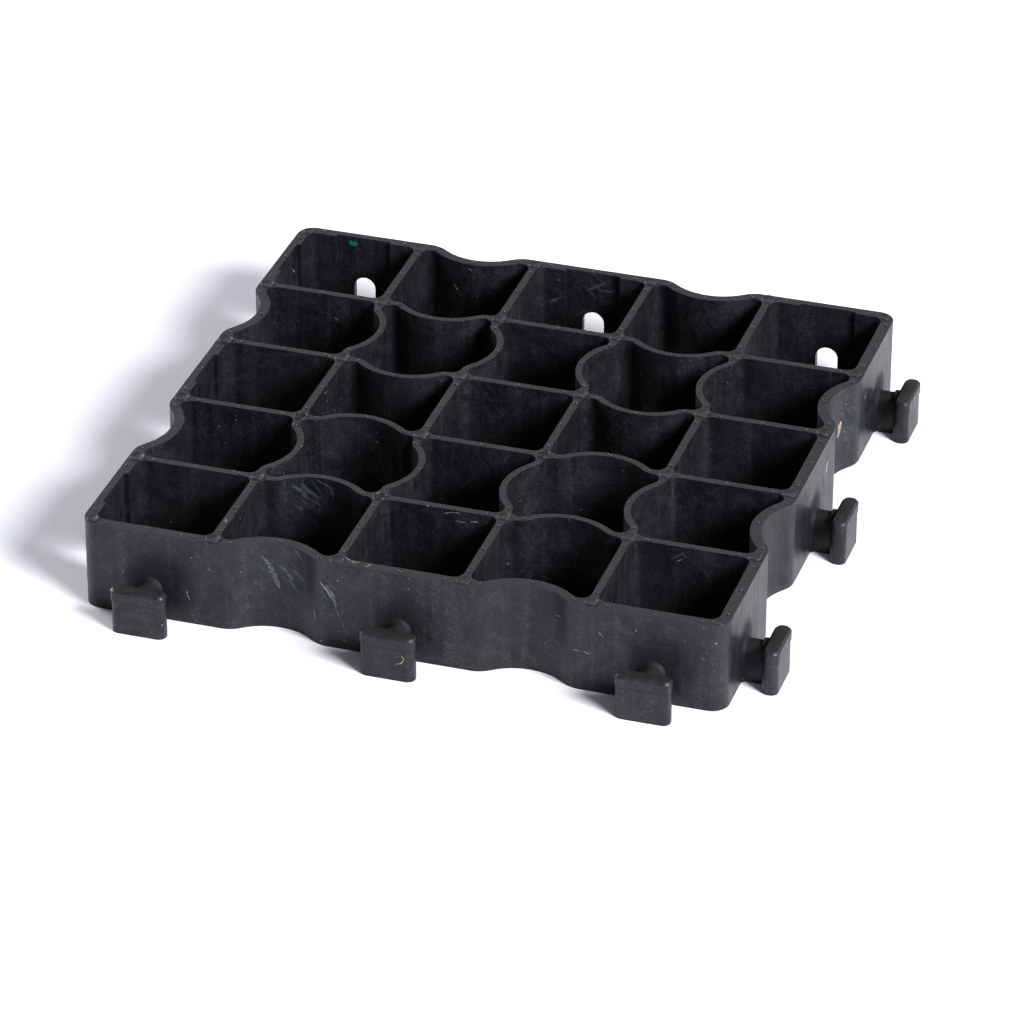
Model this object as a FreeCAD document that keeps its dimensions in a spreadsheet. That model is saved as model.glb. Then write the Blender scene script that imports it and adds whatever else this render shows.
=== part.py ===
import FreeCAD, Part
import math
import os

import Sketcher

# Grass paver grid: one moulded square tile of 5 x 5 open cells, lying flat. X runs along the front edge,
# Y to the back and Z up. The walls beside every second cell bow towards the middle of the tile. Three
# T-shaped tabs on the front and three on the right drop into the slots of the next tile's back and left.

NODE = "paver_grid"
CELLS = 5
EVERY_SECOND = (CELLS + 1) // 2
TOLERANCE = 0.01

# Driving dimensions in millimetres
SIZES = {
    "tile_side": (330, "outer faces of opposite walls"),
    "tile_height": (48, "underside to top"),
    "outer_wall": (6, "thickness of the frame"),
    "inner_wall": (4, "thickness of the walls between cells"),
    "outer_corner": (9, "radius of the tile's upright corners"),
    "cell_corner": (5, "radius in the corners of a cell"),
    "bulge_rise": (9.2, "how far a bowed wall's inner side stands off its straight line"),
    "hollow_rise": (9.8, "how far a bowed wall's outer side stands off its straight line"),
    "hollow_lip": (8, "radius where a hollow leaves the corner of a cell"),
    "notch_radius": (29.5, "radius of the hollows in the frame's outer face"),
    "notch_lip": (14, "radius where such a hollow leaves the outer face"),
    "tab_width": (28.5, "head of a tab, along the wall"),
    "tab_thickness": (8.5, "head of a tab, across"),
    "tab_height": (24, "head of a tab, from the underside up"),
    "tab_reach": (20, "wall face to the outer face of a tab"),
    "tab_corner": (3.8, "radius of a head's upright edges"),
    "cap_height": (6, "upper part of a head, above its parting line"),
    "cap_step": (0.35, "how far the upper part stands out over the lower one"),
    "cap_rim": (1.1, "slope round the top of a head"),
    "neck_width": (10, "thickness of the neck behind a head"),
    "neck_drop": (2.5, "crown of the neck below the top of the head"),
    "neck_root": (1.5, "slope where a neck meets the wall"),
    "collar_rim": (1.3, "how far the round collar behind a head stands out round the crown of the neck"),
    "collar_length": (2, "collar, along the neck"),
    "slot_play": (1, "room on each side of a neck in its slot"),
    "slot_headroom": (2.5, "room above a neck in its slot"),
    "recess_depth": (2, "wall thinned behind a slot"),
    "recess_play": (0.75, "room beside each end of a head in its recess"),
}

# Lengths worked out from the driving dimensions, as expressions
HALF_SIDE = "sizes.tile_side / 2"
CELL = f"((sizes.tile_side - 2 * sizes.outer_wall - {CELLS - 1} * sizes.inner_wall) / {CELLS})"
PITCH = f"({CELL} + sizes.inner_wall)"
FIRST = f"-{(CELLS - 1) / 2} * {PITCH}"
SECOND = f"({FIRST} + {PITCH})"
SPAN = f"{CELLS - 1} * {PITCH}"
NECK_HEIGHT = "sizes.tab_height - sizes.neck_drop"
# Middles of a cell's corner arcs, from the middle of the cell
CORNER = f"({CELL} / 2 - sizes.cell_corner)"
# A bowed side's radius is the one with which it runs smoothly into the corner or the lip at its ends
BULGE_RADIUS = f"({CORNER} * {CORNER} / sizes.bulge_rise + sizes.bulge_rise) / 2 - sizes.cell_corner"
HOLLOW_RADIUS = f"({CORNER} * {CORNER} / sizes.hollow_rise + sizes.hollow_rise) / 2 - sizes.hollow_lip"


def fill_sheet(doc):
    sheet = doc.addObject("Spreadsheet::Sheet", "sizes")
    for row, (alias, (value, meaning)) in enumerate(SIZES.items(), start=1):
        sheet.set(f"A{row}", meaning)
        sheet.set(f"B{row}", str(value))
        sheet.setAlias(f"B{row}", alias)
    doc.recompute()


def origin_feature(body, role):
    return next(item for item in body.Origin.OriginFeatures if item.Role == role)


def new_sketch(body, name, plane, x="0", y="0", z="0"):
    """Empty sketch on an origin plane, shifted by expressions in the plane's own axes."""
    sketch = body.newObject("Sketcher::SketchObject", name)
    sketch.AttachmentSupport = (origin_feature(body, plane), [""])
    sketch.MapMode = "FlatFace"
    for axis, expression in zip("xyz", (x, y, z)):
        sketch.setExpression(f"AttachmentOffset.Base.{axis}", expression)
    return sketch


def measure(item, expression):
    return float(item.evalExpression(expression))


def bind(sketch, expression, kind, *places):
    """Adds a constraint whose value follows an expression."""
    value = measure(sketch, expression)
    index = sketch.addConstraint(Sketcher.Constraint(kind, *places, value))
    sketch.setExpression(f"Constraints[{index}]", expression)


def fix(sketch, kind, *places):
    sketch.addConstraint(Sketcher.Constraint(kind, *places))


def arc(x, y, radius, start, end):
    circle = Part.Circle(FreeCAD.Vector(x, y, 0), FreeCAD.Vector(0, 0, 1), radius)
    return Part.ArcOfCircle(circle, math.radians(start), math.radians(end))


def line(x0, y0, x1, y1):
    return Part.LineSegment(FreeCAD.Vector(x0, y0, 0), FreeCAD.Vector(x1, y1, 0))


def draw_rectangle(sketch, width, depth):
    """Plain rectangle centred on the sketch's origin."""
    x = measure(sketch, width) / 2
    y = measure(sketch, depth) / 2
    corners = [(-x, -y), (x, -y), (x, y), (-x, y)]
    for start, end in zip(corners, corners[1:] + corners[:1]):
        sketch.addGeometry(line(*start, *end))
    for side in range(4):
        fix(sketch, "Coincident", side, 2, (side + 1) % 4, 1)
        fix(sketch, "Vertical" if side % 2 else "Horizontal", side)
    fix(sketch, "Symmetric", 0, 1, 2, 1, -1, 1)
    bind(sketch, width, "DistanceX", 0, 1, 0, 2)
    bind(sketch, depth, "DistanceY", 1, 1, 1, 2)


def draw_rounded_rectangle(sketch, width, depth, radius):
    """Rectangle centred on the sketch's origin, with its four corners rounded."""
    r = measure(sketch, radius)
    x = measure(sketch, width) / 2 - r
    y = measure(sketch, depth) / 2 - r
    sketch.addGeometry(line(-x, -y - r, x, -y - r))
    sketch.addGeometry(arc(x, -y, r, -90, 0))
    sketch.addGeometry(line(x + r, -y, x + r, y))
    sketch.addGeometry(arc(x, y, r, 0, 90))
    sketch.addGeometry(line(x, y + r, -x, y + r))
    sketch.addGeometry(arc(-x, y, r, 90, 180))
    sketch.addGeometry(line(-x - r, y, -x - r, -y))
    sketch.addGeometry(arc(-x, -y, r, 180, 270))
    for piece in range(8):
        fix(sketch, "Tangent", piece, 2, (piece + 1) % 8, 1)
    for side, direction in ((0, "Horizontal"), (2, "Vertical"), (4, "Horizontal"), (6, "Vertical")):
        fix(sketch, direction, side)
    for corner in (1, 3, 5):
        fix(sketch, "Equal", corner, corner + 2)
    fix(sketch, "Symmetric", 1, 3, 5, 3, -1, 1)
    bind(sketch, radius, "Radius", 1)
    bind(sketch, width, "DistanceX", 6, 1, 2, 1)
    bind(sketch, depth, "DistanceY", 0, 1, 4, 1)


def draw_circle(sketch, radius):
    """Circle centred on the sketch's origin."""
    sketch.addGeometry(Part.Circle(FreeCAD.Vector(0, 0, 0), FreeCAD.Vector(0, 0, 1), measure(sketch, radius)))
    fix(sketch, "Coincident", 0, 3, -1, 1)
    bind(sketch, radius, "Radius", 0)


def draw_notch(sketch):
    """Hollow with rounded lips, cut into a face that runs through the sketch's origin along its X axis."""
    radius = measure(sketch, "sizes.notch_radius")
    lip = measure(sketch, "sizes.notch_lip")
    depth = measure(sketch, "sizes.hollow_rise")
    air = measure(sketch, "sizes.outer_wall")
    start = math.sqrt((radius + lip) ** 2 - (radius + lip - depth) ** 2)
    turn = math.degrees(math.asin(start / (radius + lip)))
    sketch.addGeometry(arc(0, depth - radius, radius, 90 - turn, 90 + turn))
    for side in (-1, 1):
        sketch.addGeometry(arc(side * start, lip, lip, *sorted((-90, -90 - side * turn))))
    sketch.addGeometry(line(-start, 0, -start, -air))
    sketch.addGeometry(line(-start, -air, start, -air))
    sketch.addGeometry(line(start, -air, start, 0))
    fix(sketch, "Tangent", 0, 2, 1, 2)
    fix(sketch, "Tangent", 0, 1, 2, 1)
    fix(sketch, "Coincident", 1, 1, 3, 1)
    fix(sketch, "Coincident", 3, 2, 4, 1)
    fix(sketch, "Coincident", 4, 2, 5, 1)
    fix(sketch, "Coincident", 5, 2, 2, 2)
    fix(sketch, "PointOnObject", 0, 3, -2)
    bind(sketch, "sizes.notch_radius", "Radius", 0)
    bind(sketch, "sizes.notch_radius - sizes.hollow_rise", "DistanceY", 0, 3, -1, 1)
    for lip_arc, lip_end, edge in ((1, 1, 3), (2, 2, 5)):
        bind(sketch, "sizes.notch_lip", "Radius", lip_arc)
        fix(sketch, "PointOnObject", lip_arc, lip_end, -1)
        fix(sketch, "Vertical", lip_arc, 3, lip_arc, lip_end)
        fix(sketch, "Vertical", edge)
    fix(sketch, "Horizontal", 4)
    bind(sketch, "sizes.outer_wall", "DistanceY", 4, 1, -1, 1)


def side_pieces(sketch, kind):
    """Arcs and lines of one side of a cell, left to right, as (shape, middle, radius, start, end).

    Places are (along the side, outwards from the middle of the cell). A side is straight, bows in or bows out.
    """
    half = measure(sketch, CELL) / 2
    corner = measure(sketch, CORNER)
    r = measure(sketch, "sizes.cell_corner")
    if kind == "straight":
        return [("line", None, None, (-corner, half), (corner, half))]
    if kind == "in":
        radius = measure(sketch, BULGE_RADIUS)
        middle = (0, half - measure(sketch, "sizes.bulge_rise") + radius)
        share = radius / (radius + r)
        end = (share * corner, middle[1] + share * (corner - middle[1]))
        return [("bulge", middle, radius, (-end[0], end[1]), end)]
    radius = measure(sketch, HOLLOW_RADIUS)
    lip = measure(sketch, "sizes.hollow_lip")
    middle = (0, half + measure(sketch, "sizes.hollow_rise") - radius)
    share = lip / (radius + lip)
    end = (corner - share * corner, half + lip + share * (middle[1] - half - lip))
    mirrored = (-end[0], end[1])
    return [("lip", (-corner, half + lip), lip, (-corner, half), mirrored),
            ("hollow", middle, radius, mirrored, end),
            ("lip", (corner, half + lip), lip, end, (corner, half))]


def draw_cell(sketch, front, right, back, left):
    """Outline of a cell from the kinds of its sides, with rounded corners and no kinks."""
    corner = measure(sketch, CORNER)
    chain = []
    for quarter, kind in enumerate((front, right, back, left)):
        turn = FreeCAD.Rotation(FreeCAD.Vector(0, 0, 1), 90 * quarter)

        def place(point):
            return turn.multVec(FreeCAD.Vector(point[0], -point[1], 0))
        for shape, middle, radius, start, end in side_pieces(sketch, kind):
            chain.append([shape, middle and place(middle), radius, place(start), place(end)])
        chain.append(["corner", place((corner, corner)), measure(sketch, "sizes.cell_corner"), None, None])
    for n, piece in enumerate(chain):
        if piece[0] == "corner":
            piece[3] = chain[n - 1][4]
            piece[4] = chain[(n + 1) % len(chain)][3]

    ends = []
    for shape, middle, radius, start, end in chain:
        clockwise = shape in ("bulge", "lip")
        ends.append((2, 1) if clockwise else (1, 2))
        if shape == "line":
            sketch.addGeometry(Part.LineSegment(start, end))
            continue
        angles = [math.degrees(math.atan2(p.y - middle.y, p.x - middle.x)) for p in (start, end)]
        if clockwise:
            angles.reverse()
        sketch.addGeometry(arc(middle.x, middle.y, radius, angles[0], angles[0] + (angles[1] - angles[0]) % 360))
    for n in range(len(chain)):
        following = (n + 1) % len(chain)
        fix(sketch, "Tangent", n, ends[n][1], following, ends[following][0])

    radii = {"corner": "sizes.cell_corner", "bulge": BULGE_RADIUS, "hollow": HOLLOW_RADIUS, "lip": "sizes.hollow_lip"}
    corners = [n for n, piece in enumerate(chain) if piece[0] == "corner"]
    for n, piece in enumerate(chain):
        if piece[0] in radii:
            bind(sketch, radii[piece[0]], "Radius", n)
    # Corner middles, from the one at the front right round to the front left
    fix(sketch, "Symmetric", corners[1], 3, corners[3], 3, -1, 1)
    bind(sketch, CORNER, "DistanceX", -1, 1, corners[1], 3)
    bind(sketch, CORNER, "DistanceY", -1, 1, corners[1], 3)
    for a, b, direction in ((0, 1, "Vertical"), (1, 2, "Horizontal"), (2, 3, "Vertical"), (3, 0, "Horizontal")):
        fix(sketch, direction, corners[a], 3, corners[b], 3)
    for n, piece in enumerate(chain):
        if piece[0] == "lip":
            beside = next(m % len(chain) for m in (n - 1, n + 1) if m % len(chain) in corners)
            along_x = abs(piece[1].y) > abs(piece[1].x)
            fix(sketch, "Vertical" if along_x else "Horizontal", n, 3, beside, 3)


def draw_arch(sketch, width, height, foot_drop):
    """Upright opening with a half-round crown, from below the sketch's origin to a height above it."""
    r = measure(sketch, width) / 2
    spring = measure(sketch, height) - r
    foot = -measure(sketch, foot_drop)
    sketch.addGeometry(line(-r, foot, r, foot))
    sketch.addGeometry(line(r, foot, r, spring))
    sketch.addGeometry(arc(0, spring, r, 0, 180))
    sketch.addGeometry(line(-r, spring, -r, foot))
    fix(sketch, "Coincident", 0, 2, 1, 1)
    fix(sketch, "Tangent", 1, 2, 2, 1)
    fix(sketch, "Tangent", 2, 2, 3, 1)
    fix(sketch, "Coincident", 3, 2, 0, 1)
    fix(sketch, "Horizontal", 0)
    fix(sketch, "Vertical", 1)
    fix(sketch, "Vertical", 3)
    fix(sketch, "PointOnObject", 2, 3, -2)
    bind(sketch, f"({width}) / 2", "Radius", 2)
    bind(sketch, f"{height} - ({width}) / 2", "DistanceY", -1, 1, 2, 3)
    bind(sketch, foot_drop, "DistanceY", 0, 1, -1, 1)


def add_feature(body, kind, name):
    feature = body.newObject(f"PartDesign::{kind}", name)
    feature.Refine = False
    return feature


def add_pad(body, name, sketch, length):
    pad = add_feature(body, "Pad", name)
    pad.Profile = sketch
    pad.setExpression("Length", length)
    return pad


def add_pocket(body, name, sketch, length):
    """Cut along the sketch's normal, which points into the solid."""
    pocket = add_feature(body, "Pocket", name)
    pocket.Profile = sketch
    pocket.Reversed = True
    pocket.setExpression("Length", length)
    return pocket


def linear_pattern(body, name, axis, length, count):
    pattern = add_feature(body, "LinearPattern", name)
    pattern.Direction = (origin_feature(body, axis), [""])
    pattern.setExpression("Length", length)
    pattern.Occurrences = count
    return pattern


def polar_pattern(body, name, angle, count):
    pattern = add_feature(body, "PolarPattern", name)
    pattern.Axis = (origin_feature(body, "Z_Axis"), [""])
    pattern.Angle = angle
    pattern.Occurrences = count
    return pattern


def mirror_across(body, name, plane):
    mirror = add_feature(body, "Mirrored", name)
    mirror.MirrorPlane = (origin_feature(body, plane), [""])
    return mirror


def copy_by(pattern, original, body):
    pattern.Originals = [original]
    body.Tip = pattern


def repeat(body, name, originals, transformations):
    multi = body.newObject("PartDesign::MultiTransform", name)
    multi.Originals = originals
    multi.Transformations = transformations
    body.Tip = multi


def add_chamfer(body, name, size, belongs):
    """Slopes the edges of the solid so far that the test belongs picks."""
    base = body.Tip
    body.Document.recompute()
    picked = [f"Edge{number}" for number, edge in enumerate(base.Shape.Edges, start=1) if belongs(edge)]
    chamfer = body.newObject("PartDesign::Chamfer", name)
    chamfer.Base = (base, picked)
    chamfer.setExpression("Size", size)
    body.Tip = chamfer


def lies_in(edge, distance):
    """True for an edge in the upright plane that far in front of, or to the right of, the tile's middle."""
    box = edge.BoundBox
    in_front = max(abs(box.YMin + distance), abs(box.YMax + distance)) < TOLERANCE
    at_right = max(abs(box.XMin - distance), abs(box.XMax - distance)) < TOLERANCE
    return in_front or at_right


def add_tile(body):
    outline = new_sketch(body, "tile_outline", "XY_Plane")
    draw_rounded_rectangle(outline, "sizes.tile_side", "sizes.tile_side", "sizes.outer_corner")
    add_pad(body, "tile", outline, "sizes.tile_height")


def all_round(body, name):
    """Both halves of a side, then the same on all four sides."""
    return [mirror_across(body, f"{name}_mirrored", "YZ_Plane"), polar_pattern(body, f"{name}_turned", 360, 4)]


def add_notches(body):
    """Hollows in the outer faces, where the frame bows inwards beside every second cell."""
    sketch = new_sketch(body, "notch_outline", "XY_Plane", SECOND, f"-{HALF_SIDE}")
    draw_notch(sketch)
    first_notch = add_pocket(body, "first_notch", sketch, "sizes.tile_height")
    repeat(body, "notches", [first_notch], all_round(body, "notches"))


def add_cell(body, name, column, row, *sides):
    """One cell of a kind, with its middle given by expressions."""
    sketch = new_sketch(body, f"{name}_outline", "XY_Plane", column, row)
    draw_cell(sketch, *sides)
    return add_pocket(body, f"first_{name}", sketch, "sizes.tile_height")


def add_cells(body):
    """The 25 cells, of four kinds. Walls bow towards the middle of the tile."""
    square = add_cell(body, "square", FIRST, FIRST, "straight", "straight", "straight", "straight")
    squares = linear_pattern(body, "squares", "X_Axis", SPAN, EVERY_SECOND)
    squares.Direction2 = (origin_feature(body, "Y_Axis"), [""])
    squares.setExpression("Length2", SPAN)
    squares.Occurrences2 = EVERY_SECOND
    copy_by(squares, square, body)

    border = add_cell(body, "border", SECOND, FIRST, "in", "straight", "out", "straight")
    repeat(body, "borders", [border], all_round(body, "borders"))

    rounded = add_cell(body, "round", SECOND, SECOND, "in", "out", "out", "in")
    copy_by(polar_pattern(body, "rounds", 360, 4), rounded, body)

    waisted = add_cell(body, "waist", "0", SECOND, "straight", "in", "straight", "in")
    copy_by(polar_pattern(body, "waists", 360, 4), waisted, body)


def along_two_sides(body, name):
    """Three places along a side, then the same on the next side round."""
    return [linear_pattern(body, f"{name}_in_line", "X_Axis", SPAN, EVERY_SECOND),
            polar_pattern(body, f"{name}_turned", 90, 2)]


def add_slots(body):
    """Arched slots in the back and left walls, each behind a shallow recess for a tab's head."""
    recess = new_sketch(body, "recess_outline", "XY_Plane", FIRST, f"{HALF_SIDE} - sizes.outer_wall")
    draw_rectangle(recess, "sizes.tab_width + 2 * sizes.recess_play", "2 * sizes.recess_depth")
    first_recess = add_pocket(body, "first_recess", recess, "sizes.tile_height")

    arch = new_sketch(body, "slot_outline", "XZ_Plane", FIRST, "0", f"-{HALF_SIDE}")
    slot_width = "sizes.neck_width + 2 * sizes.slot_play"
    draw_arch(arch, slot_width, f"{NECK_HEIGHT} + sizes.slot_headroom", "sizes.slot_headroom")
    first_slot = add_pocket(body, "first_slot", arch, "2 * sizes.outer_wall")
    repeat(body, "slots", [first_recess, first_slot], along_two_sides(body, "slots"))


def add_tabs(body):
    """T-shaped tabs on the front and right walls."""
    wall_middle = f"{HALF_SIDE} - sizes.outer_wall / 2"
    neck = new_sketch(body, "neck_outline", "XZ_Plane", FIRST, "0", wall_middle)
    draw_arch(neck, "sizes.neck_width", NECK_HEIGHT, "0")
    neck_length = "sizes.outer_wall / 2 + sizes.tab_reach - sizes.tab_thickness / 2"
    first_neck = add_pad(body, "first_neck", neck, neck_length)

    head_middle = f"-({HALF_SIDE} + sizes.tab_reach - sizes.tab_thickness / 2)"
    head = new_sketch(body, "head_outline", "XY_Plane", FIRST, f"{head_middle} + sizes.cap_step")
    inset = "sizes.tab_width - 2 * sizes.cap_step"
    draw_rounded_rectangle(head, inset, "sizes.tab_thickness", "sizes.tab_corner")
    first_head = add_pad(body, "first_head", head, "sizes.tab_height - sizes.cap_height")
    cap = new_sketch(body, "cap_outline", "XY_Plane", FIRST, head_middle, "sizes.tab_height - sizes.cap_height")
    draw_rounded_rectangle(cap, "sizes.tab_width", "sizes.tab_thickness", "sizes.tab_corner")
    first_cap = add_pad(body, "first_cap", cap, "sizes.cap_height")

    crown_middle = f"{NECK_HEIGHT} - sizes.neck_width / 2"
    head_back = f"{HALF_SIDE} + sizes.tab_reach - sizes.tab_thickness - sizes.cap_step"
    collar = new_sketch(body, "collar_outline", "XZ_Plane", FIRST, crown_middle, f"{head_back} - sizes.collar_length")
    draw_circle(collar, "sizes.neck_width / 2 + sizes.collar_rim")
    first_collar = add_pad(body, "first_collar", collar, "sizes.collar_length + sizes.tab_thickness / 2")
    tab = [first_neck, first_head, first_cap, first_collar]
    repeat(body, "tabs", tab, along_two_sides(body, "tabs"))


def ease_tabs(body):
    """Slopes off the roots of the necks and the top rims of the heads."""
    wall_face = measure(body, HALF_SIDE)
    crown = measure(body, NECK_HEIGHT)
    top = measure(body, "sizes.tab_height")

    def is_root(edge):
        box = edge.BoundBox
        return lies_in(edge, wall_face) and box.ZLength > TOLERANCE and box.ZMax < crown + TOLERANCE

    def is_rim(edge):
        return max(abs(edge.BoundBox.ZMin - top), abs(edge.BoundBox.ZMax - top)) < TOLERANCE

    add_chamfer(body, "neck_roots", "sizes.neck_root", is_root)
    add_chamfer(body, "cap_rims", "min(sizes.cap_rim; 0.9 * sizes.neck_drop)", is_rim)


def build_tile(doc):
    body = doc.addObject("PartDesign::Body", NODE)
    body.Label = NODE
    add_tile(body)
    add_tabs(body)
    ease_tabs(body)
    add_slots(body)
    add_notches(body)
    add_cells(body)
    # The origin is under the middle of the whole outline, tabs included
    body.setExpression("Placement.Base.x", "-sizes.tab_reach / 2")
    body.setExpression("Placement.Base.y", "sizes.tab_reach / 2")
    doc.recompute()
    return body


def check(doc, body):
    for item in doc.Objects:
        if "Invalid" in item.State or "Error" in item.State:
            raise RuntimeError(f"{item.Name} failed: {item.State}")
    if body.Shape.isNull() or not body.Shape.isValid():
        raise RuntimeError(f"{body.Label} has no valid shape")
    if len(body.Shape.Solids) != 1:
        raise RuntimeError(f"{body.Label} came out as {len(body.Shape.Solids)} solids")


document = FreeCAD.newDocument("grass_paver_grid")
fill_sheet(document)
tile = build_tile(document)
check(document, tile)
os.makedirs("parts", exist_ok=True)
tile.Shape.exportStep(f"parts/{tile.Label}.step")
box = tile.Shape.optimalBoundingBox(False)
print(f"{tile.Label}: {box.XLength:.1f} x {box.YLength:.1f} x {box.ZLength:.1f} mm, {tile.Shape.Volume / 1000:.1f} cm3")
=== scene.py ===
import math
import random

import bmesh
import bpy
from mathutils import Matrix, Vector
from mathutils.bvhtree import BVHTree


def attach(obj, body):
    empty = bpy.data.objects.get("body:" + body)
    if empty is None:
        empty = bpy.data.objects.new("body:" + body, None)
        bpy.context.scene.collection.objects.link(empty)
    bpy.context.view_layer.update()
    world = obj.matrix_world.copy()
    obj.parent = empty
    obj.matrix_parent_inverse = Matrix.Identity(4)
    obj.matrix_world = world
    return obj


# Grass paver grid in black recycled plastic, lying on a pale floor. Lengths are metres in the part's own
# frame. The materials and the tables of marks and scuffs are in millimetres from the middle of the grid.

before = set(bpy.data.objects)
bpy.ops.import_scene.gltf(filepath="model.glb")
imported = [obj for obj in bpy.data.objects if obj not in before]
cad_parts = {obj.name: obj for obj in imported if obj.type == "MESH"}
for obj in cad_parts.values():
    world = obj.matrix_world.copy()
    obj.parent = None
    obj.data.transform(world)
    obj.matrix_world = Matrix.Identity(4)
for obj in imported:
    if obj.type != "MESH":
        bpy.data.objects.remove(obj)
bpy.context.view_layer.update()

NODE = "paver_grid"
MM = 0.001
SEED = 20
UPRIGHT = Matrix.Identity(3)

# Sizes of the tile that the fine relief is set out from
SIDE = 0.330
HEIGHT = 0.048
OUTER_WALL = 0.006
INNER_WALL = 0.004
CELLS = 5
PITCH = (SIDE - 2 * OUTER_WALL + INNER_WALL) / CELLS
BOW = 0.0095
TAB_REACH = 0.020
MIDDLE = Vector((-TAB_REACH / 2, TAB_REACH / 2, 0))

# Rounding of the tile's edges
WELD_DISTANCE = 1e-5
EDGE_ROUND = 0.0004
EDGE_SEGMENTS = 2
EDGE_ANGLE = 35

# Depth to which the burrs, nubs and seams are sunk into the tile
SINK = 0.0003

# Marks of the ejector pins on the crossings of the walls
PIN_RADIUS = 0.0040
CORNER_PIN_RADIUS = 0.0031
FRAME_PIN_INSET = 0.0044
CORNER_PIN_INSET = 0.0051
PIN_RISE = 0.00042
PIN_SINK = 0.0004
PIN_SEGMENTS = 40

# Crossings that the pins have torn, by column and row from the front left: a burr round a disc painted dark
# as the shade of the hollow
TORN = {(1, 2), (3, 2), (2, 1)}
TORN_RISE = 0.00045
TORN_DISC_SHARE = 0.72
TORN_DISC_RISE = 0.00006
TORN_DISC_SEGMENTS = 20
BURR_SEGMENTS = 36

# Grip nubs along the tops of the walls
NUB_RADIUS = 0.00105
NUB_RISE = 0.00080
NUB_SEGMENTS = 14
NUB_JITTER = 0.0003
NUB_FROM_CROSSING = 0.0092
NUB_END_BOW = 0.0007

# Flat part of a strip's width
STRIP_FLAT = 0.85

# Lines left on the walls by the mould inserts round the tabs
INSERT_HALF_WIDTH = 0.017
INSERT_FOOT = 0.0008
INSERT_HEIGHT = 0.031
INSERT_FROM_CORNER = 0.012
LINE_HALF_WIDTH = 0.00016
LINE_RISE = 0.00006
LINE_SINK = 0.00005

# Parting line round the head of a tab, under its slightly wider upper part, painted dark as the shadow under
# the step
HEAD_WIDTH = 0.0278
HEAD_THICKNESS = 0.0085
HEAD_CORNER = 0.0038
HEAD_FACE = 0.01965
SEAM_TOP = 0.01802
SEAM_HEIGHT = 0.00042
SEAM_RISE = 0.00018
SEAM_CORNER_STEPS = 6

# Necks of the tabs, round which painted shade darkens the plastic, and how far it is full and then fades
# out, in millimetres
NECK_MIDDLE = 0.004
NECK_TOP = 0.0190
NECK_SHADE_FULL = 7.5
NECK_SHADE_END = 16.0

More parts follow.
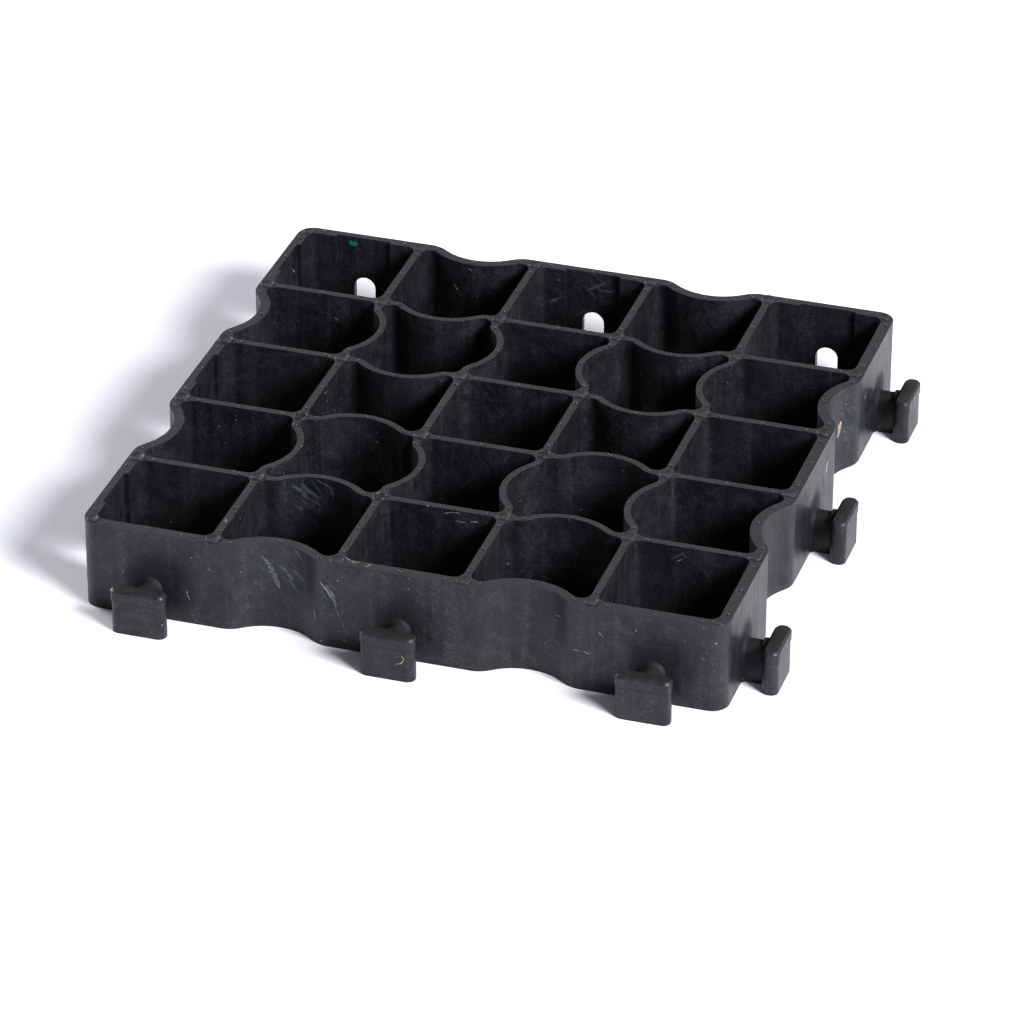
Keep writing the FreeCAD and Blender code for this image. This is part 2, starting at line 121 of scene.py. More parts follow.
# Scratches and chips: kind, half width, then the places that they run through
MARKS = [
    ("blue", 0.75, (-73.0, -156.5, 40.1), (-69.3, -155.7, 35.1), (-64.6, -155.2, 22.5)),
    ("blue", 0.45, (-64.3, -155.2, 35.7), (-60.6, -155.5, 32.5), (-57.4, -156.1, 28.9)),
    ("pale", 0.30, (-55.8, -156.5, 47.0), (-51.1, -158.4, 42.2)),
    ("blue", 0.45, (-56.6, -156.3, 34.9), (-49.5, -159.3, 29.9)),
    ("blue", 0.30, (-59.6, -155.6, 28.8), (-54.6, -156.9, 23.0)),
    ("pale", 0.28, (-40.3, -164.6, 36.3), (-36.6, -165.0, 32.1), (-34.1, -165.0, 27.2)),
    ("blue", 0.60, (-37.6, -165.0, 35.4), (-34.2, -165.0, 30.6), (-31.6, -165.0, 23.4)),
    ("blue", 0.10, (-33.1, -165.0, 24.8), (-29.7, -165.0, 16.8), (-26.2, -165.0, 8.3)),
    ("tan", 0.35, (-44.4, -162.8, 18.0), (-43.2, -163.5, 13.5)),
    ("tan", 0.35, (-109.6, -165.0, 18.9), (-109.2, -165.0, 16.0), (-108.2, -165.0, 13.4)),
    ("faint", 0.45, (-79.8, -93.2, 43.3), (-75.8, -91.1, 40.0), (-72.6, -90.0, 35.3)),
    ("faint", 0.40, (-76.2, -91.3, 44.6), (-72.5, -90.0, 39.9), (-67.6, -89.0, 36.7)),
    ("faint", 0.22, (-68.5, -89.1, 47.0), (-61.2, -89.0, 43.1), (-59.1, -89.3, 36.7)),
    ("faint", 0.25, (-71.6, -89.8, 35.3), (-66.7, -88.9, 32.2), (-67.9, -89.1, 26.3)),
    ("faint", 0.25, (-78.7, -92.5, 32.7), (-75.1, -90.9, 29.0)),
    ("pale", 0.35, (-29.8, -157.5, 48.0), (-25.1, -160.4, 48.0), (-21.1, -160.1, 48.0)),
    ("pale", 0.40, (-17.1, -162.8, 48.0), (-15.2, -160.3, 48.0)),
    ("pale", 0.60, (-97.3, -140.5, 48.0), (-96.2, -144.0, 48.0)),
    ("tan", 0.35, (77.9, -158.5, 35.6), (81.0, -160.3, 36.4)),
    ("tan", 0.30, (88.9, -164.6, 22.0), (92.0, -165.0, 21.6)),
    ("tan", 0.30, (94.1, -165.0, 22.0), (97.1, -165.0, 20.9)),
    ("tan", 0.20, (101.0, -165.0, 34.6), (104.0, -165.0, 31.8)),
    ("tan", 0.20, (78.0, -158.5, 21.4), (80.4, -159.9, 19.3)),
    ("faint", 0.30, (118.2, -98.6, 40.0), (121.7, -98.6, 42.9), (124.2, -98.6, 44.5), (125.8, -98.6, 42.5)),
    ("pale", 0.20, (120.8, -98.6, 39.3), (123.8, -98.6, 41.0)),
    ("tan", 2.20, (157.3, 75.0, 21.0), (157.7, 76.3, 25.5), (158.3, 77.6, 29.5)),
    ("tan", 0.55, (165.0, 98.8, 32.4), (165.0, 102.7, 33.8)),
    ("pale", 1.00, (165.0, 20.8, 31.0), (165.0, 24.6, 36.4)),
    ("faint", 0.40, (-3.7, 161.0, 36.8), (2.9, 161.0, 40.3), (7.3, 161.0, 43.4)),
    ("faint", 0.35, (4.1, 161.0, 38.1), (10.7, 161.0, 37.9)),
    ("faint", 0.40, (-23.7, 159.0, 27.4), (-17.0, 159.0, 31.5)),
    ("faint", 0.30, (-10.9, 161.0, 18.7), (-8.7, 161.0, 21.5), (-5.3, 161.0, 23.9), (-1.4, 161.0, 23.9)),
    ("pale", 0.22, (1.7, -98.6, 45.2), (5.8, -98.6, 46.6), (10.0, -98.6, 46.8)),
    ("pale", 0.22, (7.3, -98.6, 42.0), (13.0, -98.6, 41.9)),
    ("pale", 0.25, (15.1, -98.6, 42.8), (19.8, -98.6, 43.6)),
    ("tan", 0.40, (7.9, -184.6, 15.0), (9.4, -184.7, 12.9), (8.2, -184.6, 10.6), (5.2, -184.6, 9.3)),
    ("tan", 0.45, (-161.0, 136.3, 36.5), (-161.0, 139.3, 33.2)),
    ("tan", 0.30, (-122.8, 94.6, 35.0), (-120.6, 94.6, 33.5)),
    ("tan", 0.45, (-75.2, 151.6, 33.9), (-72.7, 150.9, 31.0)),
    ("tan", 0.30, (-66.7, 149.9, 45.8), (-64.4, 149.8, 44.3)),
    ("green", 1.25, (-137.8, 161.0, 44.4), (-135.3, 161.0, 43.9), (-132.7, 161.0, 43.5)),
]

# Colour of each kind of mark and how much of it covers the plastic, then how far it spreads past its width
MARK_COLOURS = {
    "blue": ((0.085, 0.102, 0.112), 0.97),
    "faint": ((0.048, 0.058, 0.064), 0.97),
    "pale": ((0.30, 0.30, 0.27), 0.95),
    "tan": ((0.34, 0.285, 0.18), 0.9),
    "green": ((0.0, 0.15, 0.075), 0.35),
}
MARK_SPREAD = {"blue": 2.2, "faint": 2.8, "pale": 1.3, "tan": 1.0, "green": 1.3}
MARK_STEP = 0.0012
MARK_RISE = 0.00005
MARK_SINK = 0.00004

# Patches where the plastic is scuffed pale: place, radius, and strength, which is full in the core
HAZE = [
    ((-66, -156, 33), 22, 1.0),
    ((-97, -165, 34), 16, 0.3),
    ((-38, -165, 30), 14, 0.6),
    ((-70, -90, 37), 19, 0.9),
    ((132, -99, 37), 17, 0.7),
    ((158, 82, 30), 22, 0.9),
    ((2, 160, 38), 18, 0.7),
    ((-62, 151, 38), 18, 0.5),
    ((64, 151, 38), 20, 0.5),
    ((-118, 96, 36), 22, 0.5),
    ((12, -99, 42), 14, 0.5),
    ((-20, 30, 36), 20, 0.4),
    ((55, 28, 36), 22, 0.5),
    ((165, 22, 32), 18, 0.5),
    ((158, -64, 30), 20, 0.4),
    ((165, -125, 30), 20, 0.5),
    ((165, 118, 34), 22, 0.4),
]
HAZE_CORE = 0.35

# Colours of the plastic and of what lies on it, and of the painted light and painted shade laid over it
DEEP_BLACK = (0.0066, 0.0070, 0.0085, 1)
BLACK = (0.0125, 0.0131, 0.0152, 1)
CLOUD = (0.0215, 0.0227, 0.0255, 1)
DUST = (0.060, 0.062, 0.065, 1)
STREAK = (0.0165, 0.0175, 0.0200, 1)
# Painted highlight: grainy pale bands up the walls
HIGHLIGHT_BAND = (0.046, 0.047, 0.049, 1)
SWIRL = (0.022, 0.024, 0.028, 1)
SCUFF = (0.052, 0.060, 0.068, 1)
# Painted light: upward faces, lighter than the walls
LIT_TOP = (0.036, 0.035, 0.0335, 1)
GREY_SPECK = (0.11, 0.11, 0.105, 1)
TAN_SPECK = (0.23, 0.20, 0.13, 1)
# Painted shade round the necks of the tabs
NECK_SHADE = (0.004, 0.004, 0.005, 1)
UNDER_MARK = (0.016, 0.017, 0.019, 1)
# Painted shade inside the torn crossings and under the caps at the seams of the tabs
SHADE_DARK = (0.002, 0.002, 0.003, 1)
SHADE_LIGHT = (0.010, 0.010, 0.012, 1)
WORN = (0.024, 0.024, 0.025, 1)
PLASTIC_IOR = 1.43
WORN_IOR = 1.46

# Studio: place, diameter and power of the lamps, light from the room's walls and ceiling, and the floor.
# The light fades from the walls' to the ceiling's between these upward parts of a direction.
LAMPS = {"key": ((2.90, -1.50, 2.05), 1.7, 272), "fill": ((-3.00, 1.20, 1.10), 2.4, 110)}
LAMP_COLOUR = (0.97, 0.98, 1.04)
ROOM_COLOUR = (0.95, 0.97, 1.05, 1)
WALL_LIGHT = 0.73
CEILING_LIGHT = 0.02
CEILING_START = 0.32
CEILING_END = 0.70
FLOOR_SIZE = 8
FLOOR_COLOUR = (0.88, 0.88, 0.88, 1)

# The photograph's view in degrees, with the lens and sensor in millimetres
AZIMUTH = 17.550
ELEVATION = 30.426
ROLL = -0.095
LENS = 195.36
SENSOR = 36
CAMERA_PLACE = (0.736171, -2.331489, 1.433911)


def mesh_object(name, bm, material, smooth=True):
    """Makes a piece that rides with the tile from a bmesh in the part's frame."""
    bmesh.ops.recalc_face_normals(bm, faces=bm.faces)
    mesh = bpy.data.meshes.new(name)
    bm.to_mesh(mesh)
    bm.free()
    if smooth:
        mesh.shade_smooth()
    mesh.materials.append(material)
    obj = bpy.data.objects.new(name, mesh)
    bpy.context.scene.collection.objects.link(obj)
    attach(obj, "root")


def lathe(bm, profile, segments, place, turn):
    """Adds a closed turned form. The profile runs from the axis underneath to the axis on top."""
    rings = []
    for radius, height in profile[1:-1]:
        ring = []
        for n in range(segments):
            angle = 2 * math.pi * n / segments
            point = Vector((radius * math.cos(angle), radius * math.sin(angle), height))
            ring.append(bm.verts.new(place + turn @ point))
        rings.append(ring)
    for lower, upper in zip(rings, rings[1:]):
        for n in range(segments):
            m = (n + 1) % segments
            bm.faces.new((lower[n], lower[m], upper[m], upper[n]))
    for ring, (_, height) in ((rings[0], profile[0]), (rings[-1], profile[-1])):
        tip = bm.verts.new(place + turn @ Vector((0, 0, height)))
        for n in range(segments):
            bm.faces.new((ring[n], ring[(n + 1) % segments], tip))


class Shader:
    """Adds nodes to a node tree. Each call gives back the socket that carries the result."""

    def __init__(self, tree):
        self.tree = tree

    def add(self, kind, inputs, output=0, **settings):
        node = self.tree.nodes.new(kind)
        for key, value in settings.items():
            setattr(node, key, value)
        for key, value in inputs.items():
            if isinstance(value, bpy.types.NodeSocket):
                self.tree.links.new(value, node.inputs[key])
            else:
                node.inputs[key].default_value = value
        return node.outputs[output]

    def math(self, operation, a, b=0.0, clamp=False):
        return self.add("ShaderNodeMath", {0: a, 1: b}, operation=operation, use_clamp=clamp)

    def times(self, first, *others):
        for other in others:
            first = self.math("MULTIPLY", first, other)
        return first

    def plus(self, a, b, clamp=False):
        return self.math("ADD", a, b, clamp)

    def ramp(self, value, low, high, start=0.0, end=1.0):
        """Smooth step from start to end while the value goes from low to high."""
        inputs = {"Value": value, "From Min": low, "From Max": high, "To Min": start, "To Max": end}
        return self.add("ShaderNodeMapRange", inputs, interpolation_type="SMOOTHSTEP")

    def parts(self, vector):
        """The three parts of a vector."""
        return self.add("ShaderNodeSeparateXYZ", {0: vector}).node.outputs[:3]

    def stretch(self, vector, x, y, z):
        return self.add("ShaderNodeVectorMath", {0: vector, 1: (x, y, z)}, operation="MULTIPLY")

    def distance(self, a, b):
        return self.add("ShaderNodeVectorMath", {0: a, 1: b}, output=1, operation="DISTANCE")

    def noise(self, vector, scale, detail=3.0, roughness=0.5, distortion=0.0):
        inputs = {"Vector": vector, "Scale": scale, "Detail": detail, "Roughness": roughness,
                  "Distortion": distortion}
        return self.add("ShaderNodeTexNoise", inputs, noise_dimensions="3D")

    def wander(self, vector, scale, amount):
        """The vector, shifted about by noise."""
        shift = self.add("ShaderNodeTexNoise", {"Vector": vector, "Scale": scale, "Detail": 2.0}, output=1)
        inputs = {0: shift, 1: (amount, amount, amount), 2: vector}
        return self.add("ShaderNodeVectorMath", inputs, operation="MULTIPLY_ADD")

    def mix(self, factor, a, b):
        inputs = {"Factor": factor, 6: a, 7: b}
        return self.add("ShaderNodeMix", inputs, output=2, data_type="RGBA")


def new_material(name):
    """Node material, its principled shader and the means to add nodes to it."""
    material = bpy.data.materials.new(name)
    material.use_nodes = True
    return material, material.node_tree.nodes["Principled BSDF"], Shader(material.node_tree)


def place_in_millimetres(nodes):
    """Socket with the place on the tile, in millimetres from the middle of the grid."""
    geometry = nodes.add("ShaderNodeTexCoord", {}, output=3)
    moved = nodes.add("ShaderNodeVectorMath", {0: geometry, 1: MIDDLE}, operation="SUBTRACT")
    return nodes.add("ShaderNodeVectorMath", {0: moved, "Scale": 1 / MM}, operation="SCALE")


def haze_at(nodes, place):
    """How hazy the plastic is, from the table of scuffed patches."""
    haze = 0.0
    for centre, radius, strength in HAZE:
        away = nodes.distance(place, centre)
        haze = nodes.plus(nodes.ramp(away, HAZE_CORE * radius, radius, strength, 0.0), haze)
    return haze


def specks_at(nodes, place):
    """Cover and colour of specks of other plastics and grit, a few in every square centimetre."""
    inputs = {"Vector": nodes.wander(place, 1.3, 1.1), "Scale": 0.33}
    away, chance = nodes.add("ShaderNodeTexVoronoi", inputs).node.outputs[:2]
    pick, size, tint = nodes.add("ShaderNodeSeparateColor", {0: chance}).node.outputs[:3]
    inside = nodes.math("LESS_THAN", away, nodes.ramp(size, 0.0, 1.0, 0.04, 0.17))
    picked = nodes.math("GREATER_THAN", pick, 0.88)
    cover = nodes.times(inside, picked, nodes.ramp(tint, 0.0, 1.0, 0.15, 0.75))
    return cover, nodes.mix(tint, GREY_SPECK, TAN_SPECK)


def neck_shade_at(nodes, place):
    """Painted shade on and round the necks of the tabs, which repeat along the front and the right side."""
    x, y, z = nodes.parts(place)
    repeat = PITCH / MM
    neck = (0, (SIDE / 2 + NECK_MIDDLE) / MM, NECK_TOP / MM)
    neck_shade = 0.0
    for along, outward in ((x, nodes.times(y, -1.0)), (y, x)):
        wrapped = nodes.add("ShaderNodeMath", {0: along, 1: repeat, 2: -repeat}, operation="WRAP")
        local = nodes.add("ShaderNodeCombineXYZ", {0: wrapped, 1: outward, 2: z})
        neck_shade = nodes.plus(nodes.ramp(nodes.distance(local, neck), NECK_SHADE_FULL, NECK_SHADE_END, 1.0, 0.0), neck_shade)
    return neck_shade


def plastic_material():
    """Black recycled plastic: blue-black, streaked up the walls, scuffed, with pale specks in it."""
    material, shader, nodes = new_material("recycled_plastic")
    place = place_in_millimetres(nodes)
    normal = nodes.add("ShaderNodeNewGeometry", {}, output=1)
    top = nodes.ramp(nodes.parts(normal)[2], 0.5, 0.9)
    wall = nodes.math("SUBTRACT", 1.0, top)

    # Draw marks run up the walls, and flow marks wander across them
    streaks = nodes.noise(nodes.stretch(place, 0.42, 0.42, 0.025), 1.0, 4, 0.55)
    broad_streaks = nodes.noise(nodes.stretch(place, 0.16, 0.16, 0.008), 1.0, 3, 0.5)
    wandering = nodes.wander(place, 0.035, 46)
    flow = nodes.noise(nodes.stretch(wandering, 0.10, 0.10, 0.55), 1.0, 5, 0.62)
    mottle = nodes.noise(place, 0.03, 4, 0.55)
    clouds = nodes.noise(wandering, 0.11, 5, 0.66)
    grain = nodes.noise(place, 1.9, 3, 0.7)
    dust = nodes.noise(place, 0.75, 5, 0.78)

    # Scuffs: fine slanting lines that break up, thick in the hazy patches and thin elsewhere
    slanted = nodes.add("ShaderNodeVectorRotate", {"Vector": place, "Axis": (0.2, 1.0, 0.1), "Angle": -0.85})
    scratch = nodes.noise(nodes.stretch(slanted, 0.075, 0.3, 0.50), 1.0, 3.5, 0.6, 0.15)
    thick = nodes.plus(haze_at(nodes, place), nodes.ramp(mottle, 0.50, 0.80, 0.0, 0.35))
    scuff = nodes.math("MULTIPLY", nodes.times(thick, nodes.ramp(scratch, 0.50, 0.78)), wall, True)
    swirl = nodes.times(nodes.ramp(flow, 0.52, 0.74), wall, nodes.ramp(mottle, 0.35, 0.65, 0.25, 0.8))

    # Colours, each laid over the ones before it
    cloud_cover = nodes.times(nodes.ramp(clouds, 0.40, 0.70), 0.9)
    dust_cover = nodes.times(nodes.ramp(dust, 0.53, 0.70), nodes.ramp(clouds, 0.35, 0.70, 0.25, 1.0))
    streak_cover = nodes.times(nodes.ramp(streaks, 0.45, 0.75), wall, 0.60)
    # Grainy pale upright bands at random places on the walls: painted highlights
    highlight_band_cover = nodes.times(nodes.ramp(broad_streaks, 0.52, 0.66), nodes.ramp(dust, 0.42, 0.62), wall, 0.55)
    # Upward faces painted lighter, broken up by grain: painted light on the tops
    top_grain = nodes.plus(nodes.times(grain, 0.45), nodes.times(dust, 0.55))
    lit_top_cover = nodes.times(top, nodes.ramp(top_grain, 0.34, 0.66, 0.20, 1.0))
    # Painted shade round the necks of the tabs, which also makes the plastic rougher there
    neck_shade = neck_shade_at(nodes, place)
    layers = [
        (cloud_cover, CLOUD),
        (dust_cover, DUST),
        (streak_cover, STREAK),
        (highlight_band_cover, HIGHLIGHT_BAND),
        (nodes.times(swirl, 0.75), SWIRL),
        (scuff, SCUFF),
        (lit_top_cover, LIT_TOP),
        specks_at(nodes, place),
        (nodes.times(neck_shade, 0.75), NECK_SHADE),
    ]
    colour = nodes.mix(nodes.ramp(mottle, 0.3, 0.7), DEEP_BLACK, BLACK)
    for cover, shade in layers:
        colour = nodes.mix(cover, colour, shade)

    fine = nodes.plus(nodes.times(grain, 0.5), nodes.times(streaks, 0.5))
    rough = nodes.ramp(fine, 0.3, 0.7, 0.30, 0.46)
    rough = nodes.plus(rough, nodes.times(top, 0.10))
    rough = nodes.plus(rough, nodes.times(neck_shade, 0.35))
    rough = nodes.plus(rough, nodes.times(scuff, 0.25), True)

    # Heights in millimetres
    relief = nodes.times(streaks, wall, 0.06)
    swell = nodes.noise(place, 0.07, 2)
    for form, height in ((broad_streaks, 0.16), (grain, 0.05), (swell, 0.25), (clouds, 0.16), (dust, 0.13)):
        relief = nodes.plus(relief, nodes.times(form, height))
    bump = nodes.add("ShaderNodeBump", {"Strength": 0.8, "Distance": MM, "Height": relief})

    material.node_tree.links.new(colour, shader.inputs["Base Color"])
    material.node_tree.links.new(rough, shader.inputs["Roughness"])
    material.node_tree.links.new(bump, shader.inputs["Normal"])
    shader.inputs["IOR"].default_value = PLASTIC_IOR
    return material


def mark_material(kind):
    """Pale or coloured plastic of a scratch or chip, broken up by the black beneath it."""
    colour, cover = MARK_COLOURS[kind]
    material, shader, nodes = new_material(f"{kind}_mark")
    place = place_in_millimetres(nodes)
    patches = nodes.ramp(nodes.noise(place, 1.3, 4, 0.7), 0.38, 0.62, 1 - cover, 1.0)
    shade = nodes.mix(patches, UNDER_MARK, (*colour, 1))
    material.node_tree.links.new(shade, shader.inputs["Base Color"])
    shader.inputs["Roughness"].default_value = 0.55
    return material


def painted_shade_material():
    """Painted shade: dark plastic for the shade inside the torn crossings and under the caps at the seams of
    the tabs.
    """
    material, shader, nodes = new_material("painted_shade_plastic")
    place = place_in_millimetres(nodes)
    shade = nodes.mix(nodes.noise(place, 1.2, 3), SHADE_DARK, SHADE_LIGHT)
    material.node_tree.links.new(shade, shader.inputs["Base Color"])
    shader.inputs["Roughness"].default_value = 0.7
    return material


def worn_material():
    """Nubs rubbed smooth, so that their tips shine."""
    material, shader, _ = new_material("worn_plastic")
    shader.inputs["Base Color"].default_value = WORN
    shader.inputs["Roughness"].default_value = 0.24
    shader.inputs["IOR"].default_value = WORN_IOR
    return material


def dress_tile(material):
    """Closes the node's mesh and rounds its edges a little."""
    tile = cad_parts[NODE]
    tile.data.materials.clear()
    tile.data.materials.append(material)
    weld = tile.modifiers.new("weld", "WELD")
    weld.merge_threshold = WELD_DISTANCE
    bevel = tile.modifiers.new("edges", "BEVEL")
    bevel.width = EDGE_ROUND
    bevel.segments = EDGE_SEGMENTS
    bevel.limit_method = "ANGLE"
    bevel.angle_limit = math.radians(EDGE_ANGLE)
    normals = tile.modifiers.new("normals", "WEIGHTED_NORMAL")
    normals.keep_sharp = False
    return tile


def cell_middle(cell):
    """Middle of a column or row of cells, from the middle of the grid."""
    return (cell - (CELLS - 1) / 2) * PITCH


def crossing(column, row):
    """Place of a pin on the top of the tile. On the frame it lies towards the inside of the crossing."""
    on_frame = [n in (0, CELLS) for n in (column, row)]
    inset = CORNER_PIN_INSET if all(on_frame) else FRAME_PIN_INSET
    place = MIDDLE + Vector((0, 0, HEIGHT))
    for axis, number in enumerate((column, row)):
        if on_frame[axis]:
            place[axis] += (SIDE / 2 - inset) * (1 if number else -1)
        else:
            place[axis] += (number - CELLS / 2) * PITCH
    return place


def add_pin_marks(material, torn):
    """Shallow coins left by the ejector pins, each a little tilted. Torn ones are a burr round a disc
    painted dark as the shade of a hollow.
    """
    rng = random.Random(SEED)
    bm = bmesh.new()
    hollows = bmesh.new()
    for column in range(CELLS + 1):
        for row in range(CELLS + 1):
            place = crossing(column, row)
            corner = column in (0, CELLS) and row in (0, CELLS)
            radius = CORNER_PIN_RADIUS if corner else PIN_RADIUS * rng.uniform(0.90, 1.0)
            tilt = Matrix.Rotation(math.radians(rng.uniform(0.8, 2.4)), 3, "X")
            turn = Matrix.Rotation(rng.uniform(0, 2 * math.pi), 3, "Z") @ tilt
            rim = PIN_RISE * rng.uniform(0.7, 1.5)
            if (column, row) in TORN:
                rim = TORN_RISE
                disc = TORN_DISC_SHARE * radius
                floor = [(0, -SINK), (disc, -SINK), (disc, TORN_DISC_RISE), (0, TORN_DISC_RISE)]
                lathe(hollows, floor, TORN_DISC_SEGMENTS, place, UPRIGHT)
                burr = [(0.98, -SINK), (0.95, rim), (0.84, 1.2 * rim), (0.70, 0.0), (0.70, -SINK)]
                add_ring(bm, [(share * radius, z) for share, z in burr], BURR_SEGMENTS, place, turn, rng)
                continue
            profile = [(0, -PIN_SINK), (radius, -PIN_SINK), (radius, 0.4 * rim), (radius - 0.00018, rim),
                       (radius - 0.0006, rim), (radius - 0.0009, 0.45 * rim), (0, 0.45 * rim)]
            lathe(bm, profile, PIN_SEGMENTS, place, turn)
    mesh_object("pin_marks", bm, material)
    mesh_object("torn_crossing_shade", hollows, torn)


def add_ring(bm, section, segments, place, turn, rng):
    """Adds a closed ring of the given section, with an uneven rim."""
    rings = []
    for n in range(segments):
        angle = 2 * math.pi * n / segments
        lift = rng.uniform(0.5, 1.4)
        outward = Vector((math.cos(angle), math.sin(angle), 0))
        points = [outward * r + Vector((0, 0, z * lift if z > 0 else z)) for r, z in section]
        rings.append([bm.verts.new(place + turn @ p) for p in points])
    join_rings(bm, rings, rings[1:] + rings[:1])


def join_rings(bm, rings, following_rings):
    """Skins each closed ring of points to the ring that follows it."""
    for ring, following in zip(rings, following_rings):
        for k in range(len(ring)):
            m = (k + 1) % len(ring)
            bm.faces.new((ring[k], following[k], following[m], ring[m]))


def wall_nubs():
    """Places of the grip nubs: three on every wall, on its middle line, which bows at every second cell."""
    reach = PITCH / 2 - NUB_FROM_CROSSING
    for line in range(CELLS + 1):
        across = (line - CELLS / 2) * PITCH
        if line in (0, CELLS):
            across = math.copysign(SIDE / 2 - OUTER_WALL / 2, across)
        inwards = -math.copysign(1, across)
        for cell in range(CELLS):
            middle = cell_middle(cell)
            bowed = cell % 2 == 1
            for along in (-reach, 0, reach):
                bow = BOW if along == 0 else NUB_END_BOW
                offset = across + (inwards * bow if bowed else 0)
                yield Vector((middle + along, offset, HEIGHT))
                yield Vector((offset, middle + along, HEIGHT))


def add_nubs(material):
    """Low round nubs along the tops of the walls, worn to slightly different heights."""
    rng = random.Random(SEED + 1)
    bm = bmesh.new()
    for place in wall_nubs():
        radius = NUB_RADIUS * rng.uniform(0.82, 1.12)
        rise = NUB_RISE * rng.uniform(0.7, 1.15)
        profile = [(0, -SINK), (radius, -SINK), (radius, 0), (0.88 * radius, 0.5 * rise),
                   (0.60 * radius, 0.86 * rise), (0, rise)]
        jitter = Vector((rng.uniform(-1, 1), rng.uniform(-1, 1), 0)) * NUB_JITTER
        lathe(bm, profile, NUB_SEGMENTS, MIDDLE + place + jitter, UPRIGHT)
    mesh_object("grip_nubs", bm, material)


def strip_along(bm, points, normals, half_widths, rise, sink):
    """Adds a closed low strip with a flat top along points on a surface."""
    section = [(-1, -sink), (-STRIP_FLAT, rise), (STRIP_FLAT, rise), (1, -sink)]
    rings = []
    for n, (point, normal) in enumerate(zip(points, normals)):
        before = points[max(n - 1, 0)]
        after = points[min(n + 1, len(points) - 1)]
        side = (after - before).cross(normal).normalized() * half_widths[n]
        rings.append([bm.verts.new(point + side * share + normal * height) for share, height in section])
    join_rings(bm, rings, rings[1:])
    bm.faces.new(rings[0])
    bm.faces.new(reversed(rings[-1]))


def add_insert_lines(material):
    """Fine ridges up the walls on both sides of each tab."""
    bm = bmesh.new()
    face = SIDE / 2
    for cell in range(0, CELLS, 2):
        for offset in (-INSERT_HALF_WIDTH, INSERT_HALF_WIDTH):
            along = cell_middle(cell) + offset
            if abs(along) > face - INSERT_FROM_CORNER:
                continue
            for foot, normal in ((Vector((along, -face, 0)), Vector((0, -1, 0))),
                                 (Vector((face, along, 0)), Vector((1, 0, 0)))):
                points = [MIDDLE + foot + Vector((0, 0, z)) for z in (INSERT_FOOT, INSERT_HEIGHT)]
                strip_along(bm, points, [normal] * 2, [LINE_HALF_WIDTH] * 2, LINE_RISE, LINE_SINK)
    mesh_object("insert_lines", bm, material, smooth=False)


def add_tab_seam_shadows(material):
    """Parting lines round the heads of the tabs, painted dark as the shadow under the step of the cap."""
    bm = bmesh.new()
    half = Vector((HEAD_WIDTH / 2 - HEAD_CORNER, HEAD_THICKNESS / 2 - HEAD_CORNER))
    outline = []
    for quarter, (x, y) in enumerate(((1, 1), (-1, 1), (-1, -1), (1, -1))):
        for n in range(SEAM_CORNER_STEPS + 1):
            angle = math.radians(90 * quarter + 90 // SEAM_CORNER_STEPS * n)
            outline.append((Vector((x * half.x, y * half.y)), Vector((math.cos(angle), math.sin(angle)))))
    low = SEAM_TOP - SEAM_HEIGHT
    section = [(-SINK, low), (SEAM_RISE, low), (SEAM_RISE, SEAM_TOP), (-SINK, SEAM_TOP)]
    for side in (UPRIGHT, Matrix.Rotation(math.pi / 2, 3, "Z")):
        for cell in range(0, CELLS, 2):
            head = Vector((cell_middle(cell), -(SIDE / 2 + HEAD_FACE - HEAD_THICKNESS / 2), 0))
            rings = []
            for centre, outward in outline:
                ring = []
                for offset, height in section:
                    flat = centre + outward * (HEAD_CORNER + offset)
                    ring.append(bm.verts.new(MIDDLE + side @ (head + Vector((flat.x, flat.y, height)))))
                rings.append(ring)
            join_rings(bm, rings, rings[1:] + rings[:1])
    mesh_object("tab_seam_shadows", bm, material)


def add_marks(tile):
    """Scratches and chips, laid on the tile's surface."""
    rng = random.Random(SEED + 2)
    surface = BVHTree.FromObject(tile, bpy.context.evaluated_depsgraph_get())
    for kind in MARK_COLOURS:
        bm = bmesh.new()
        for half_width, places in ((mark[1], mark[2:]) for mark in MARKS if mark[0] == kind):
            corners = [MIDDLE + Vector(place) * MM for place in places]
            points = []
            for start, end in zip(corners, corners[1:]):
                steps = max(2, round((end - start).length / MARK_STEP))
                points += [start.lerp(end, n / steps) for n in range(steps)]
            points.append(corners[-1])
            found = [surface.find_nearest(p)[:2] for p in points]
            widths = []
            for n in range(len(found)):
                share = n / (len(found) - 1)
                taper = math.sin(math.pi * (0.06 + 0.88 * share)) ** 0.7
                widths.append(half_width * MM * taper * rng.uniform(0.55, 1.25) * MARK_SPREAD[kind])
            strip_along(bm, [p for p, _ in found], [n for _, n in found], widths, MARK_RISE, MARK_SINK)
        mesh_object(f"{kind}_marks", bm, mark_material(kind), smooth=False)


def add_floor():
    """Plain pale floor under the tile."""
    bm = bmesh.new()
    bmesh.ops.create_grid(bm, x_segments=1, y_segments=1, size=FLOOR_SIZE)
    mesh = bpy.data.meshes.new("floor")
    bm.to_mesh(mesh)
    bm.free()
    material, shader, _ = new_material("floor")
    shader.inputs["Base Color"].default_value = FLOOR_COLOUR
    shader.inputs["Roughness"].default_value = 0.9
    mesh.materials.append(material)
    floor = bpy.data.objects.new("floor", mesh)
    bpy.context.scene.collection.objects.link(floor)


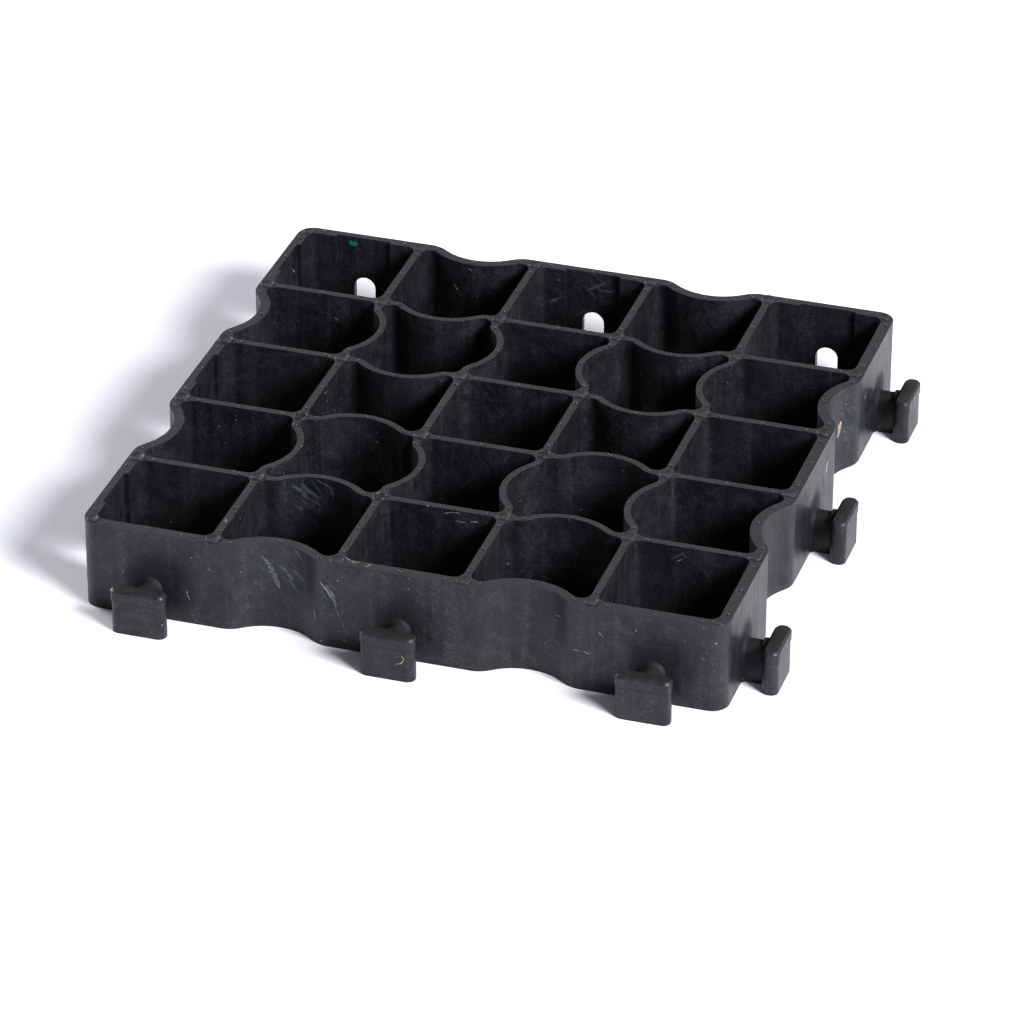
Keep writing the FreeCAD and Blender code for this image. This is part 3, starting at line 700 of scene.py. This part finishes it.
def add_lamps():
    """Large round lamps, pointed at the tile."""
    for name, (place, size, power) in LAMPS.items():
        light = bpy.data.lights.new(name, "AREA")
        light.shape = "DISK"
        light.size = size
        light.energy = power
        light.color = LAMP_COLOUR
        lamp = bpy.data.objects.new(name, light)
        lamp.location = place
        lamp.rotation_euler = (-Vector(place)).to_track_quat("-Z", "Y").to_euler()
        bpy.context.scene.collection.objects.link(lamp)


def add_world():
    """White studio walls under a dark ceiling, so that little light falls straight down into the cells."""
    world = bpy.data.worlds.new("studio")
    world.use_nodes = True
    nodes = Shader(world.node_tree)
    direction = nodes.add("ShaderNodeTexCoord", {}, output=0)
    upward = nodes.parts(direction)[2]
    strength = nodes.ramp(upward, CEILING_START, CEILING_END, WALL_LIGHT, CEILING_LIGHT)
    background = world.node_tree.nodes["Background"]
    world.node_tree.links.new(strength, background.inputs["Strength"])
    background.inputs["Color"].default_value = ROOM_COLOUR
    bpy.context.scene.world = world


def add_camera():
    """The photograph's view, to the right of the front and above the floor."""
    azimuth, elevation, roll = (math.radians(angle) for angle in (AZIMUTH, ELEVATION, ROLL))
    level = math.cos(elevation)
    back = Vector((math.sin(azimuth) * level, -math.cos(azimuth) * level, math.sin(elevation)))
    right = Vector((math.cos(azimuth), math.sin(azimuth), 0))
    up = back.cross(right)
    turn = Matrix((right, up, back)).transposed() @ Matrix.Rotation(-roll, 3, "Z")
    camera = bpy.data.cameras.new("camera")
    camera.sensor_fit = "HORIZONTAL"
    camera.sensor_width = SENSOR
    camera.lens = LENS
    obj = bpy.data.objects.new("camera", camera)
    obj.matrix_world = Matrix.Translation(CAMERA_PLACE) @ turn.to_4x4()
    bpy.context.scene.collection.objects.link(obj)
    bpy.context.scene.camera = obj


plastic = plastic_material()
dark = painted_shade_material()
tile = dress_tile(plastic)
add_pin_marks(plastic, dark)
add_nubs(worn_material())
add_insert_lines(plastic)
add_tab_seam_shadows(dark)
add_marks(tile)
add_floor()
add_world()
add_lamps()
add_camera()
bpy.context.scene.view_settings.view_transform = "Standard"
bpy.context.scene.view_settings.look = "Medium High Contrast"
bpy.context.scene.cycles.use_denoising = True
